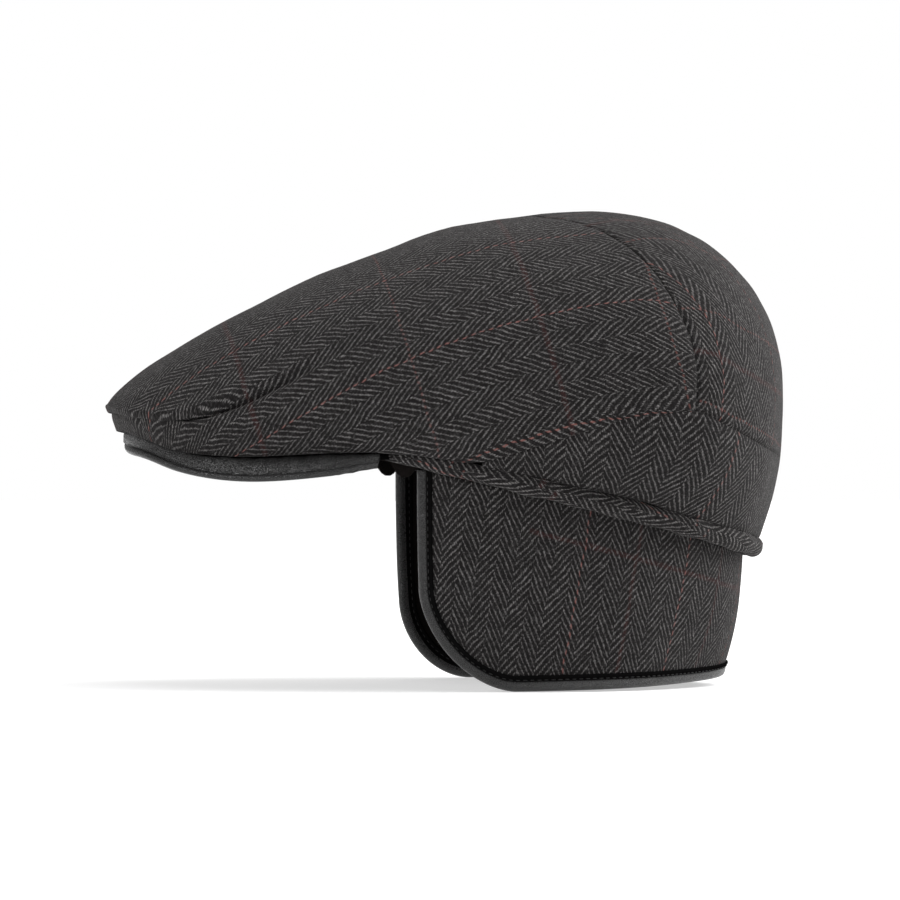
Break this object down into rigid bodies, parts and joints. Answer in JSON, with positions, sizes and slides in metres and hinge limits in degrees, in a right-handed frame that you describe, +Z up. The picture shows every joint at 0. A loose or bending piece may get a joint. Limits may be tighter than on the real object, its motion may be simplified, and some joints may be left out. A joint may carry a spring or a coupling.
{
  "type": "flat cap with ear flaps",
  "caption": "Flat cap with a low domed wool crown, a leather peak, a padded rim roll and a leather-bound flap round the ears and nape, worn down.",
  "frame": {"origin": "middle of the head opening, on the line of the rim roll", "axes": "+Z up, the peak points towards -Y, and the wearer's left is at +X"},
  "size_m": [0.21, 0.2965, 0.2063],
  "materials": {
    "wool": "charcoal herringbone wool with thin red check lines",
    "lining": "plain dark matte cloth",
    "leather": "black fine-grained leather, satin"
  },
  "bodies": {
    "root": {"crown_main": "wool", "crown_back": "wool", "back_band": "wool", "rim_roll": "wool", "sweatband": "lining", "peak": "leather", "peak_piping": "leather", "ear_flap": "wool", "flap_lining": "lining", "flap_binding": "leather"}
  },
  "joints": []
}
